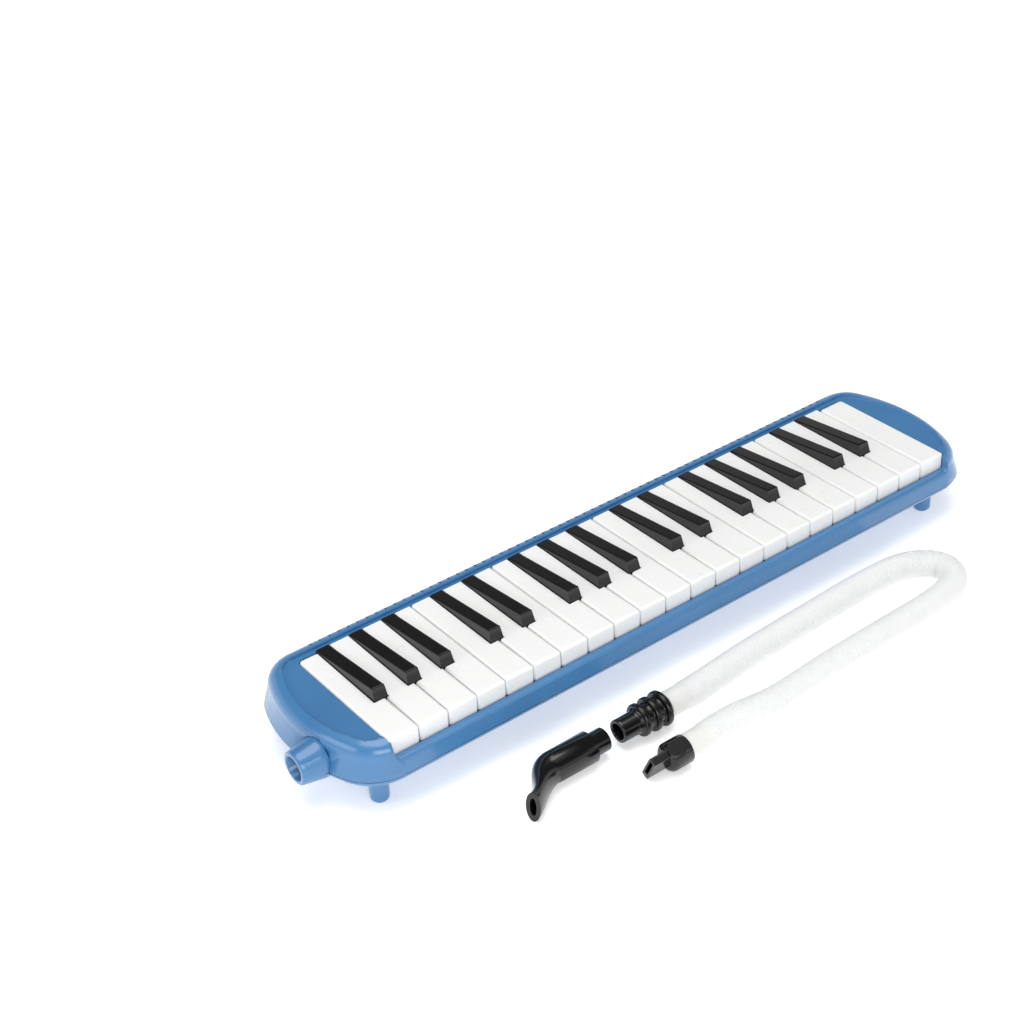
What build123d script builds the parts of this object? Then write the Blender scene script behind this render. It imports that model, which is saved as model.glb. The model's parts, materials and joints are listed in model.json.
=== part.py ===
"""37-key melodica with its short mouthpiece and its blowing hose, as separate pieces.

Millimetres. The origin is the centre of the mouthpiece socket's mouth, +X runs along the
instrument towards the high notes, +Y points away from the player and +Z points up.
"""

from build123d import *
import math
import os

# ---------------------------------------------------------------- driving dimensions
key_pitch = 19.0  # one white key
white_notes = "FGABCDE"  # white notes repeat from the lowest F
white_count = 22
first_octave = 3
keyboard_length = key_pitch * white_count

socket_reach = 9.0  # mouth of the socket to the end of the case
cap_length = 31.5  # end of the case to the first white key
case_length = keyboard_length + 2 * cap_length
key_left_x = socket_reach + cap_length
key_right_x = key_left_x + keyboard_length
case_left_x = socket_reach
case_right_x = case_left_x + case_length
case_middle_x = (case_left_x + case_right_x) / 2

floor_z = -26.5  # the table that the feet rest on
key_top_z = 17.5  # tops of the white keys
key_front_y = -32.0  # fronts of the white keys
white_visible = 89.5  # white key, front to back rim
black_visible = 58.7  # black key, front to back rim
rim_front_y = key_front_y + white_visible
case_front_y = key_front_y - 7.6
case_back_y = rim_front_y + 14.0

rim_z = key_top_z + 0.3  # crest of the end caps and of the back rim
panel_z = key_top_z - 1.3  # flat panels beside the keyboard
ledge_z = key_top_z - 10.5  # low ledge in front of the keys
parting_z = key_top_z - 20.2  # joint between the two covers
underside_z = key_top_z - 37.5

# ---------------------------------------------------------------- case
wall = 2.2
end_radius = 104.0  # each end of the case is one shallow arc
end_centre_y = 19.0
front_corner = 29.0
back_corner = 24.0
crest_round = 9.0
inner_crest_round = 4.0
inner_roof_z = panel_z - 2.4
shoulder_z = rim_z - crest_round

# Plans of the case at each height are drawn smaller by (front, ends, back) insets.
parting_inset = (0.0, 0.0, 0.0)
shoulder_inset = (2.0, 4.0, 1.0)  # the upper wall leans in by this much
inner_parting_inset = (2.4, 2.4, 2.4)
inner_shoulder_inset = (4.4, 6.4, 3.4)
skirt_inset = (0.8, 0.8, 0.8)
inner_skirt_inset = (4.2, 4.2, 4.2)
underside_inset = (19.4, 17.7, 7.0)
inner_floor_inset = (20.2, 18.5, 9.5)
lip_inset = (3.1, 3.1, 3.1)
skirt_z = parting_z - 2.6  # the lower cover slopes in below this height
skirt_round = 4.0
floor_top_z = underside_z + wall
lip_height = 1.6
lip_root = 0.6

opening_gap = 0.7  # between the keys and the case
opening_corner = 4.2
panel_arc_radius = 83.0
panel_reach = 20.3  # panel apex beyond the keyboard
panel_front_y = key_front_y + 5.0
panel_back_y = rim_front_y + 3.3
panel_corner = 9.0

ledge_ridge_y = key_front_y - 4.2
ledge_round = 1.9
ridge_steps = 4
swoop_back_y = key_front_y - opening_gap
swoop_front_y = case_front_y - 12.0
swoop_front_top = 11.6  # where the S-curve starts at the front, outside the keyboard
swoop_front_foot = -4.8
swoop_back_top = 1.6  # the same beside the key fronts
swoop_back_foot = -2.5
cut_clearance = 10.0

sound_slot_pitch = key_pitch / 3
sound_slot_width = 1.6
sound_slot_front_y = case_back_y - 8.2
sound_slot_height = 7.5
sound_slot_count = 63

foot_radius = 5.5
foot_dome = 3.5
foot_root_z = parting_z - 8.5
foot_left_x = key_left_x - 4.0
foot_right_x = key_right_x - 5.0
foot_front_y = key_front_y + 9.0
foot_back_y = rim_front_y - 6.0

boss_inset_x = 18.0
boss_places = [
    (x, y)
    for x in (case_left_x + boss_inset_x, case_right_x - boss_inset_x)
    for y in (key_front_y + 13.5, key_front_y + 68)
]
boss_joint_z = parting_z + 3
top_boss_radius = 3.2
bottom_boss_radius = 3.8
rest_rib_count = 6
rest_rib_end = 25.0  # first rib from the keyboard's end
rest_rib_width = 2.0

# ---------------------------------------------------------------- keys
key_gap = 0.6
end_key_grow = 0.6  # the two end keys reach further out
white_skirt = 11.0
white_bow = 0.7  # the front's lower edge bows down in the middle
white_wall = 1.6
white_front_round = 1.6
white_corner_round = 0.9
black_base = 8.8
black_crest = 7.6
black_front_rise = 7.3
black_rear_rise = 0.6
black_front_lean = 2.2
black_depth = 9.0  # below the white tops
black_gap = 0.5
black_top_round = 0.8
# Black keys sit off the boundary between their white neighbours, in key pitches.
black_shift = {"F": -0.15, "G": 0.0, "A": 0.15, "C": -0.08, "D": 0.09}

pivot_y = key_front_y + 66.0
pivot_z = key_top_z - 7.5
axle_radius = 1.25
running_gap = 0.05
lever_width = 7.0
lever_front_y = key_front_y + 48.0
lever_back_y = rim_front_y + 5.0
lever_bottom_z = key_top_z - 11.0
tail_top_z = key_top_z - 6.5
plate_bottom_z = key_top_z - 5.0  # underside of the full-width plate at the back of a key
pad_width = 8.4
pad_length = 12.0
pad_thickness = 2.5
pad_y = rim_front_y - 2.0
key_back_y = rim_front_y - 0.5
black_front_y = rim_front_y - black_visible
key_rear_corner = 3.5

comb_rib = 1.6
comb_base_height = 1.5
comb_front_y = pivot_y - 7
comb_back_y = pivot_y + 5
comb_rib_half_length = 5.0
comb_overhang = 3.0

spring_sheet = 0.4
spring_front_y = key_front_y + 45
spring_bend_y = spring_front_y + 4
spring_tip_y = pivot_y - 8
spring_width = 4.0

rail_top_z = key_top_z - 17.5
rail_front_y = key_front_y + 3
rail_back_y = key_front_y + 19
rail_sheet = 1.8
rail_front_leg_y = key_front_y + 12.8
rail_back_leg_y = rail_back_y - 1 - rail_sheet
felt_thickness = 1.4
felt_width = 4.4
guide_top_z = key_top_z - 7
guide_fin = 1.6

# ---------------------------------------------------------------- wind chamber stack
block_top_z = lever_bottom_z - pad_thickness
block_height = 7.1
reed_plate_thickness = 1.6
gasket_thickness = 0.8
tray_height = 9.5
plate_top_z = block_top_z - block_height
plate_bottom = plate_top_z - reed_plate_thickness
tray_top_z = plate_bottom - gasket_thickness
tray_bottom_z = tray_top_z - tray_height
chamber_front_y = key_front_y + 42.0
chamber_back_y = rim_front_y + 4.0
chamber_left_x = key_left_x - 1.0
chamber_right_x = key_right_x + 1.0
chamber_wall = 1.8
port_width = 5.0
port_length = 8.5
cell_front_y = chamber_front_y + 4.0
cell_back_y = chamber_back_y - 3.0

header_left_x = key_left_x - 12.5  # air inlet box under the left panel
header_front_y = -12.0
header_bottom_z = -12.0
header_top_z = 11.5
header_wall = 2.0
header_right_x = key_left_x - 4.0
header_back_y = 30.0

tab_count = 8
tab_radius = 3.4
tab_y = chamber_front_y - 2.6
tab_end = 15.0  # first screw tab from the keyboard's end
tab_height = 2.5

longest_reed = 33.0
shortest_reed = 17.0
reed_width = 3.0
reed_thickness = 0.35
reed_side_gap = 0.05
reed_root_y = cell_back_y - 2.0
reed_root_length = 4.0
weighted_reeds = 12
reed_weight_length = 5.0
reed_weight_height = 0.8

# ---------------------------------------------------------------- socket
socket_outer = 9.75
socket_bore = 7.0
socket_mouth_chamfer = 0.7
socket_flare = 12.0  # the tube widens to this radius in the end wall
socket_flare_x = case_left_x + 4.5
socket_collar_x = case_left_x + 7.0
socket_body = 10.4
socket_neck = 9.0
socket_end_x = header_left_x + header_wall
passage_gap = 0.15
seal_wire = 1.0
seal_x = header_left_x - 2 * seal_wire - 0.1

# ---------------------------------------------------------------- drain valve
drain_x = key_right_x - 9
drain_y = key_front_y + 53
drain_cap_radius = 5.0
drain_flange = 1.2
drain_hole_radius = 2.6
drain_stem_radius = 1.5
drain_travel = 1.4
drain_stand = 3.2  # how far the button stands out below the case
drain_coil_wire = 0.3
drain_coil_radius = 2.6
drain_coil_turns = 4
drain_seal_height = 1.5

# ---------------------------------------------------------------- fasteners
screw_shank = 1.2
screw_hole = 1.25
screw_head = 2.6
screw_head_height = 1.8
case_screw_length = 16.0
screw_seat_z = underside_z + 11.5
recess_width = 0.7
recess_reach = 1.5
recess_depth = 1.0
chamber_screw_length = 12.0

# ---------------------------------------------------------------- loose mouthpieces
spigot_radius = 6.85
spigot_length = 10.5
barrel_radius = 9.2
barrel_length = 25.5
mouthpiece_x = 151.0  # tip of the short mouthpiece's spigot
mouthpiece_y = -71.5
mouthpiece_z = floor_z + barrel_radius
mouthpiece_bore = 5.3
neck_bore = 9.4  # across, where the neck's bore leaves the barrel's
barrel_end_x = mouthpiece_x - spigot_length - barrel_length
# Neck of the short mouthpiece from the barrel to the tip: along, across, heading, height, thickness.
neck_places = (
    (0.0, 0.0, 180, 18.4, 18.0),
    (-5.5, -1.7, 205, 17.6, 16.0),
    (-12.0, -7.0, 222, 17.0, 11.5),
    (-19.0, -13.5, 222, 17.6, 8.2),
    (-27.2, -18.6, 212, 20.0, 8.2),
)
neck_bore_height = 0.62
neck_bore_thickness = 0.45
beak_opening = (16.6, 5.2)
hose_outer = 8.3
hose_bore = 6.6
hose_bend_x = 406.8  # far side of the hairpin
hose_bend_radius = 19.9
barb_radius = 6.4
barb_length = 11.0
barb_bore = 4.9
plug_tip_x = 159.0
plug_tip_radius = 6.75
plug_spigot_radius = 6.9
plug_spigot_length = 12.5
plug_barrel_radius = 7.6
plug_y = -73.3
plug_z = floor_z + 10.5
plug_collars = ((174.4, 9.7), (182.0, 10.2), (189.5, 10.5))  # position along X and radius
collar_half_width = 1.7
collar_round = 1.2
hose_start_x = 193.0
hose_lie_z = floor_z + hose_outer
beak_collar_x = 179.0
beak_collar_length = 14.0
beak_collar_round = 3.5
beak_length = 25.5
beak_y = -105.0
beak_roll = 65.0
blade_width = 15.0
blade_thickness = 5.0
blade_wall = 1.3
grip_length = 14.0
grip_width = 8.5
grip_reach = 8.7


# ================================================================ helpers
def slab(x0, x1, y0, y1, z0, z1):
    """Box given by its limits on each axis."""
    centre = Pos((x0 + x1) / 2, (y0 + y1) / 2, (z0 + z1) / 2)
    return centre * Box(x1 - x0, y1 - y0, z1 - z0)


def rod_x(radius, x0, x1, y, z):
    """Cylinder along X between two ends."""
    return Pos((x0 + x1) / 2, y, z) * Rot(0, 90, 0) * Cylinder(radius, x1 - x0)


def rod_z(radius, x, y, z0, z1):
    """Cylinder along Z between two heights."""
    return Pos(x, y, (z0 + z1) / 2) * Cylinder(radius, z1 - z0)


def side_profile(points, x0, x1):
    """Closed YZ outline pushed along X."""
    outline = make_face(Polyline([(0, y, z) for y, z in points], close=True))
    return Pos(x0, 0, 0) * extrude(outline, amount=x1 - x0, dir=(1, 0, 0))


def end_x(y, inset, side):
    """X of the case's end arc at a given Y; side is -1 at the left and +1 at the right."""
    apex = case_left_x + inset if side < 0 else case_right_x - inset
    radius = end_radius - inset
    return apex - side * (radius - math.sqrt(radius**2 - (y - end_centre_y) ** 2))


def case_outline(insets, z):
    """Plan of the case at one height, drawn smaller by its front, end and back insets."""
    front_in, end_in, back_in = insets
    front = case_front_y + front_in
    back = case_back_y - back_in
    corners = [(end_x(y, end_in, s), y) for s, y in ((-1, front), (1, front), (1, back), (-1, back))]
    left_apex = (case_left_x + end_in, end_centre_y)
    right_apex = (case_right_x - end_in, end_centre_y)
    edges = [
        Line(corners[0], corners[1]),
        ThreePointArc(corners[1], right_apex, corners[2]),
        Line(corners[2], corners[3]),
        ThreePointArc(corners[3], left_apex, corners[0]),
    ]
    face = make_face(edges)
    fronts = face.vertices().filter_by(lambda v: v.Y < 0)
    face = fillet(fronts, front_corner - (front_in + end_in) / 2)
    for side in (0, -1):
        backs = [v for v in face.vertices() if v.Y > back - 0.01]
        corner = sorted(backs, key=lambda v: v.X)[side]
        face = fillet([corner], back_corner - (back_in + end_in) / 2)
    return Pos(0, 0, z) * face


def export(node, solids):
    """Write one piece, or one group of alike pieces, as a STEP file."""
    if isinstance(solids, (list, tuple)):
        solids = Compound(children=list(solids))
    export_step(solids, f"parts/{node}.step")


# ================================================================ case
def swoop_profile(y, dip, drop):
    """XZ outline of the space above the front ledge, with an S-curve up to the cap at each end."""
    ahead = (y - swoop_back_y) / (swoop_front_y - swoop_back_y)
    top_out = swoop_back_top + ahead * (swoop_front_top - swoop_back_top) + drop
    foot_out = swoop_back_foot + ahead * (swoop_front_foot - swoop_back_foot) + drop
    top = rim_z + cut_clearance
    low = ledge_z - dip - drop
    high = rim_z + 0.2 - drop
    left_top, left_foot = key_left_x - top_out, key_left_x - foot_out
    right_top, right_foot = key_right_x + top_out, key_right_x + foot_out
    flat = (1, 0, 0)
    outline = [
        Line((left_top, y, top), (left_top, y, high)),
        Spline((left_top, y, high), (left_foot, y, low), tangents=[flat, flat]),
        Line((left_foot, y, low), (right_foot, y, low)),
        Spline((right_foot, y, low), (right_top, y, high), tangents=[flat, flat]),
        Line((right_top, y, high), (right_top, y, top)),
        Line((right_top, y, top), (left_top, y, top)),
    ]
    return make_face(outline)


def ledge_cut(drop):
    """Space above the ledge: flat behind the ridge, rounded over it, with S-curves at the ends."""
    sections = [swoop_profile(swoop_back_y + drop, 0, drop)]
    for n in range(ridge_steps + 1):
        turn = math.radians(90 * n / ridge_steps)
        y = ledge_ridge_y - ledge_round * math.sin(turn)
        sections.append(swoop_profile(y, ledge_round * (1 - math.cos(turn)), drop))
    sections.append(swoop_profile(swoop_front_y, ledge_round, drop))
    return loft(sections, ruled=True)


def panel_pocket():
    """The shallow recess that holds both end panels and the strip behind the keys."""
    left = key_left_x - panel_reach
    right = key_right_x + panel_reach
    middle = (panel_front_y + panel_back_y) / 2
    half = (panel_back_y - panel_front_y) / 2
    sag = panel_arc_radius - math.sqrt(panel_arc_radius**2 - half**2)
    corners = [
        (left + sag, panel_front_y),
        (right - sag, panel_front_y),
        (right - sag, panel_back_y),
        (left + sag, panel_back_y),
    ]
    face = make_face(
        [
            Line(corners[0], corners[1]),
            ThreePointArc(corners[1], (right, middle), corners[2]),
            Line(corners[2], corners[3]),
            ThreePointArc(corners[3], (left, middle), corners[0]),
        ]
    )
    face = fillet(face.vertices(), panel_corner)
    return extrude(Pos(0, 0, panel_z) * face, amount=cut_clearance)


def key_opening():
    """The rectangular hole that the keyboard sits in."""
    hole = slab(
        key_left_x - opening_gap,
        key_right_x + opening_gap,
        key_front_y - opening_gap,
        rim_front_y,
        parting_z,
        rim_z + cut_clearance,
    )
    backs = hole.edges().filter_by(Axis.Z).group_by(Axis.Y)[-1]
    return fillet(backs, opening_corner)


def socket_shape(grow):
    """Outside of the mouthpiece socket: flared tube, collar, body and neck, turned about X."""
    points = [
        (-grow, 0),
        (-grow, socket_outer),
        (socket_flare_x, socket_flare),
        (socket_collar_x, socket_flare),
        (socket_collar_x, socket_body),
        (seal_x, socket_body),
        (seal_x, socket_neck),
        (socket_end_x, socket_neck),
        (socket_end_x, 0),
    ]
    if grow:
        points = [(x, radius + grow if radius else 0) for x, radius in points]
    outline = make_face(Polyline([(x, 0, radius) for x, radius in points], close=True))
    return revolve(outline, axis=Axis.X)


def sound_slots():
    """Narrow upright slots cut into the outer shoulder of the back rim."""
    half_run = (sound_slot_count - 1) / 2
    slots = []
    for n in range(sound_slot_count):
        x = case_middle_x + (n - half_run) * sound_slot_pitch
        slots.append(
            slab(
                x - sound_slot_width / 2,
                x + sound_slot_width / 2,
                sound_slot_front_y,
                case_back_y + 1,
                rim_z - sound_slot_height,
                rim_z + 1,
            )
        )
    return slots


def top_cavity():
    """Room inside the upper case."""
    lower = loft(
        [case_outline(inner_parting_inset, parting_z), case_outline(inner_shoulder_inset, shoulder_z)]
    )
    upper = extrude(case_outline(inner_shoulder_inset, shoulder_z), amount=inner_roof_z - shoulder_z)
    upper = fillet(upper.faces().sort_by(Axis.Z)[-1].edges(), inner_crest_round)
    cavity = lower + upper - ledge_cut(wall)
    return cavity - [rod_z(top_boss_radius, x, y, boss_joint_z, rim_z) for x, y in boss_places]


def top_cover():
    """Upper case: bullnosed end caps, low front ledge, panels, back rim and sound slots."""
    lower = loft([case_outline(parting_inset, parting_z), case_outline(shoulder_inset, shoulder_z)])
    upper = extrude(case_outline(shoulder_inset, shoulder_z), amount=crest_round)
    upper = fillet(upper.faces().sort_by(Axis.Z)[-1].edges(), crest_round - 0.1)
    shell = lower + upper - ledge_cut(0)
    shell = shell - top_cavity() - key_opening() - panel_pocket() - socket_shape(passage_gap)
    tip_z = screw_seat_z + case_screw_length + 1
    shell -= [rod_z(screw_hole, x, y, boss_joint_z - 1, tip_z) for x, y in boss_places]
    return shell - sound_slots()


def bottom_hull(skirt, base, base_z):
    """Skirt under the parting line and the slope below it."""
    upper = extrude(case_outline(skirt, skirt_z), amount=parting_z - skirt_z)
    return upper + loft([case_outline(skirt, skirt_z), case_outline(base, base_z)])


def bottom_cover():
    """Lower case: short skirt, sloping belly, four domed feet, screw bosses and locating lip."""
    hull = bottom_hull(skirt_inset, underside_inset, underside_z)
    shell = fillet([e for e in hull.edges() if abs(e.center().Z - skirt_z) < 0.01], skirt_round)
    for x in (foot_left_x, foot_right_x):
        for y in (foot_front_y, foot_back_y):
            foot = rod_z(foot_radius, x, y, floor_z, foot_root_z)
            shell += fillet(foot.edges().sort_by(Axis.Z)[:1], foot_dome)
    shell -= bottom_hull(inner_skirt_inset, inner_floor_inset, floor_top_z)
    lip = extrude(case_outline(lip_inset, parting_z - lip_root), amount=lip_root + lip_height)
    lip -= extrude(case_outline(inner_skirt_inset, parting_z - 1), amount=1 + lip_height + 1)
    shell += lip
    rib_step = (keyboard_length - 2 * rest_rib_end) / (rest_rib_count - 1)
    for n in range(rest_rib_count):
        x = key_left_x + rest_rib_end + n * rib_step
        shell += slab(
            x - rest_rib_width / 2,
            x + rest_rib_width / 2,
            chamber_front_y + 2,
            chamber_back_y - 6,
            floor_top_z - 0.5,
            tray_bottom_z,
        )
    for x, y in boss_places:
        shell += rod_z(bottom_boss_radius, x, y, underside_z, boss_joint_z) & hull_and_above(hull)
        shell -= rod_z(screw_head + 0.3, x, y, underside_z - 1, screw_seat_z)
        shell -= rod_z(screw_shank + 0.2, x, y, screw_seat_z - 1, boss_joint_z + 1)
    shell -= rod_z(drain_cap_radius + 0.2, drain_x, drain_y, underside_z - 1, floor_top_z + 1)
    return shell - socket_shape(passage_gap)


def hull_and_above(hull):
    """The outer form of the lower case, carried up past the parting line for the bosses."""
    return hull + extrude(case_outline(inner_skirt_inset, parting_z - 1), amount=6)


# ================================================================ keys
def note_list():
    """Every key from the lowest: name, letter, kind and index of its white key."""
    notes = []
    octave = first_octave
    for i in range(white_count):
        letter = white_notes[i % len(white_notes)]
        if letter == "C":
            octave += 1
        notes.append((f"key_{letter.lower()}{octave}", letter, "white", i))
        if letter in black_shift and i < white_count - 1:
            notes.append((f"key_{letter.lower()}s{octave}", letter, "black", i))
    return notes


def black_centre(i):
    """X of the black key to the right of white key i, or None where there is none."""
    letter = white_notes[i % len(white_notes)]
    if letter not in black_shift or not 0 <= i < white_count - 1:
        return None
    return key_left_x + (i + 1 + black_shift[letter]) * key_pitch


def white_tail(i):
    """Left and right sides of a white key where it passes between black keys."""
    left_black = black_centre(i - 1) if i > 0 else None
    right_black = black_centre(i)
    reach = black_base / 2 + black_gap
    left = key_left_x + i * key_pitch + key_gap / 2 if left_black is None else left_black + reach
    right = key_left_x + (i + 1) * key_pitch - key_gap / 2
    if right_black is not None:
        right = right_black - reach
    return left, right


def lever_centre(note):
    """X of a key's lever, pad, port and reed."""
    _, _, kind, i = note
    return black_centre(i) if kind == "black" else sum(white_tail(i)) / 2


def lever(x):
    """Rear lever of any key: a beam over the pivot, stepping down under the back rim."""
    step_y = key_back_y - 1.5
    root_z = plate_bottom_z + 0.5
    profile = [
        (lever_front_y - white_wall, lever_bottom_z),
        (lever_back_y, lever_bottom_z),
        (lever_back_y, tail_top_z),
        (step_y, tail_top_z),
        (step_y, root_z),
        (lever_front_y - white_wall, root_z),
    ]
    return side_profile(profile, x - lever_width / 2, x + lever_width / 2)


def pivot_bore(x):
    """Hole in a key's lever for the axle."""
    return rod_x(axle_radius + running_gap, x - lever_width, x + lever_width, pivot_y, pivot_z)


def pad(x):
    """Felt-backed valve pad glued under the end of a lever."""
    block = slab(
        x - pad_width / 2,
        x + pad_width / 2,
        pad_y - pad_length / 2,
        pad_y + pad_length / 2,
        block_top_z,
        lever_bottom_z,
    )
    return fillet(block.edges().filter_by(Axis.Z), 1.0)


def white_key(i, x_lever):
    """White key: bowed front skirt, hollow under, notched beside its black neighbours."""
    left = key_left_x + i * key_pitch + key_gap / 2
    right = left + key_pitch - key_gap
    tail_left, tail_right = white_tail(i)
    if i == 0:
        left -= end_key_grow
        tail_left = left
    if i == white_count - 1:
        right += end_key_grow
        tail_right = right
    notch_y = black_front_y - black_gap
    low = key_top_z - white_skirt
    sides = make_face(
        [
            Line((left, 0, key_top_z), (right, 0, key_top_z)),
            Line((right, 0, key_top_z), (right, 0, low)),
            ThreePointArc((right, 0, low), ((left + right) / 2, 0, low - white_bow), (left, 0, low)),
            Line((left, 0, low), (left, 0, key_top_z)),
        ]
    )
    key = Pos(0, key_front_y, 0) * extrude(sides, amount=key_back_y - key_front_y, dir=(0, 1, 0))
    if tail_left > left + 0.1:
        key -= slab(left - 1, tail_left, notch_y, rim_front_y, low - 2, key_top_z + 1)
    if tail_right < right - 0.1:
        key -= slab(tail_right, right + 1, notch_y, rim_front_y, low - 2, key_top_z + 1)
    fronts = key.edges().filter_by(Axis.Z).group_by(Axis.Y)[0]
    key = fillet(fronts, white_corner_round)
    brow = key.faces().sort_by(Axis.Z)[-1].edges().filter_by(Axis.X).group_by(Axis.Y)[0]
    key = fillet(brow, white_front_round)
    if i in (0, white_count - 1):
        outer = [v for v in key.edges().filter_by(Axis.Z) if v.center().Y > key_back_y - 0.1]
        outer = sorted(outer, key=lambda e: e.center().X)[0 if i == 0 else -1]
        key = fillet([outer], key_rear_corner)
    roof = key_top_z - 2.2
    wide = slab(
        left + white_wall,
        right - white_wall,
        key_front_y + white_wall,
        notch_y - white_wall,
        low - 2,
        roof,
    )
    narrow = slab(
        tail_left + white_wall,
        tail_right - white_wall,
        notch_y - white_wall - 1,
        lever_front_y - white_wall,
        low - 2,
        roof,
    )
    under = slab(left - 1, right + 1, lever_front_y, rim_front_y, low - 2, plate_bottom_z)
    key = key - wide - narrow - under + lever(x_lever)
    under_skirt = slab(left - 1, right + 1, lever_front_y - 6, rim_front_y, low - 2, low)
    return key - under_skirt - pivot_bore(x_lever)


def black_key(x):
    """Black key: a drafted wedge, tallest at its leaning front."""
    bottom = key_top_z - black_depth
    crest = key_top_z + black_front_rise
    profile = [
        (black_front_y, bottom),
        (black_front_y, key_top_z),
        (black_front_y + black_front_lean, crest),
        (key_back_y, key_top_z + black_rear_rise),
        (key_back_y, plate_bottom_z),
        (lever_front_y, plate_bottom_z),
        (lever_front_y, bottom),
    ]
    key = side_profile(profile, x - black_base / 2, x + black_base / 2)
    cross = make_face(
        Polyline(
            [
                (x - black_base / 2, 0, bottom - 1),
                (x + black_base / 2, 0, bottom - 1),
                (x + black_base / 2, 0, key_top_z),
                (x + black_crest / 2, 0, crest + 0.5),
                (x - black_crest / 2, 0, crest + 0.5),
                (x - black_base / 2, 0, key_top_z),
            ],
            close=True,
        )
    )
    key &= Pos(0, black_front_y - 1, 0) * extrude(cross, amount=black_visible + 4, dir=(0, 1, 0))
    top = key.faces().filter_by(lambda f: f.normal_at().Z > 0.8).sort_by(Axis.Z)[-1]
    key = fillet(top.edges().sort_by(Axis.Y)[:3], black_top_round)
    pocket = slab(
        x - black_base / 2 + white_wall,
        x + black_base / 2 - white_wall,
        black_front_y + white_wall,
        lever_front_y - white_wall,
        bottom - 1,
        key_top_z - 3,
    )
    return key - pocket + lever(x) - pivot_bore(x)


# ================================================================ axle, comb, springs, front rail
def key_axle():
    """Steel rod that every key turns on."""
    return rod_x(axle_radius, key_left_x - 3.5, key_right_x + 3.5, pivot_y, pivot_z)


def pivot_comb(levers):
    """Base strip with a rib between every two levers; the axle runs through the ribs."""
    base_top = block_top_z + comb_base_height
    left = key_left_x - comb_overhang
    right = key_right_x + comb_overhang
    comb = slab(left, right, comb_front_y, comb_back_y, block_top_z, base_top)
    middles = [(a + b) / 2 for a, b in zip(levers, levers[1:])]
    ribs = [left + comb_rib / 2, *middles, right - comb_rib / 2]
    rib_solids = [
        slab(
            x - comb_rib / 2,
            x + comb_rib / 2,
            pivot_y - comb_rib_half_length,
            pivot_y + comb_rib_half_length,
            block_top_z,
            plate_bottom_z - 0.6,
        )
        for x in ribs
    ]
    comb += rib_solids
    return comb - rod_x(axle_radius + 0.02, left - 1, right + 1, pivot_y, pivot_z)


def key_springs(levers):
    """One stamped spring strip with a raised finger under every lever."""
    base = slab(
        key_left_x,
        key_right_x,
        spring_front_y,
        spring_bend_y,
        block_top_z,
        block_top_z + spring_sheet,
    )
    tip_z = lever_bottom_z - 0.05
    profile = [
        (spring_bend_y - 1, block_top_z),
        (spring_bend_y, block_top_z),
        (spring_tip_y, tip_z - spring_sheet),
        (spring_tip_y, tip_z),
        (spring_bend_y - 0.4, block_top_z + spring_sheet),
        (spring_bend_y - 1, block_top_z + spring_sheet),
    ]
    fingers = [side_profile(profile, x - spring_width / 2, x + spring_width / 2) for x in levers]
    return base + fingers


def front_rail():
    """Channel under the key fronts, with one guide fin standing inside each white key."""
    left = key_left_x + 1
    right = key_right_x - 1
    rail = slab(left, right, rail_front_y, rail_back_y, rail_top_z - rail_sheet, rail_top_z)
    for y in (rail_front_leg_y, rail_back_leg_y):
        rail += slab(left, right, y, y + rail_sheet, floor_top_z, rail_top_z)
    fins = []
    for i in range(white_count):
        x = key_left_x + (i + 0.5) * key_pitch
        fins.append(
            slab(
                x - guide_fin / 2,
                x + guide_fin / 2,
                key_front_y + 9,
                key_front_y + 15,
                rail_top_z - 0.5,
                guide_top_z,
            )
        )
    return rail + fins


def front_felt():
    """Felt strip that stops the pressed keys."""
    y = rail_front_y + 0.6
    return slab(
        key_left_x + 1.5,
        key_right_x - 1.5,
        y,
        y + felt_width,
        rail_top_z,
        rail_top_z + felt_thickness,
    )


# ================================================================ wind chamber stack
def tab_places():
    """Screw tabs along the front of the stack, clear of the front rail."""
    step = (keyboard_length - 2 * tab_end) / (tab_count - 1)
    return [(key_left_x + tab_end + n * step, tab_y) for n in range(tab_count)]


def stack_layer(z0, z1):
    """One layer of the stack, in the shared outline with its screw tabs."""
    layer = slab(chamber_left_x, chamber_right_x, chamber_front_y, chamber_back_y, z0, z1)
    return layer + [rod_z(tab_radius, x, y, z0, z1) for x, y in tab_places()]


def screw_holes(radius, z0, z1):
    """Holes through the tabs."""
    return [rod_z(radius, x, y, z0, z1) for x, y in tab_places()]


def cell_width(levers, n):
    """Clear width of the air cell of one key."""
    gaps = []
    if n > 0:
        gaps.append(levers[n] - levers[n - 1])
    if n < len(levers) - 1:
        gaps.append(levers[n + 1] - levers[n])
    return min(gaps) - chamber_wall


def reed_block(levers):
    """Upper block: one air cell per key, each opening upward through a port under its pad."""
    block = slab(
        chamber_left_x, chamber_right_x, chamber_front_y, chamber_back_y, plate_top_z, block_top_z
    )
    tab_top_z = plate_top_z + tab_height
    block += [rod_z(tab_radius, x, y, plate_top_z, tab_top_z) for x, y in tab_places()]
    cells = []
    for n, x in enumerate(levers):
        half = cell_width(levers, n) / 2
        roof = block_top_z - 1.8
        cells.append(slab(x - half, x + half, cell_front_y, cell_back_y, plate_top_z - 1, roof))
        half = port_width / 2
        y = pad_y
        cells.append(
            slab(x - half, x + half, y - port_length / 2, y + port_length / 2, roof - 1, rim_z)
        )
    return block - cells - screw_holes(screw_shank + 0.2, plate_top_z - 1, tab_top_z + 1)


def reed_length(n, count):
    """Speaking length of one reed, shrinking evenly from the lowest note to the highest."""
    return longest_reed + (shortest_reed - longest_reed) * n / (count - 1)


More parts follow.
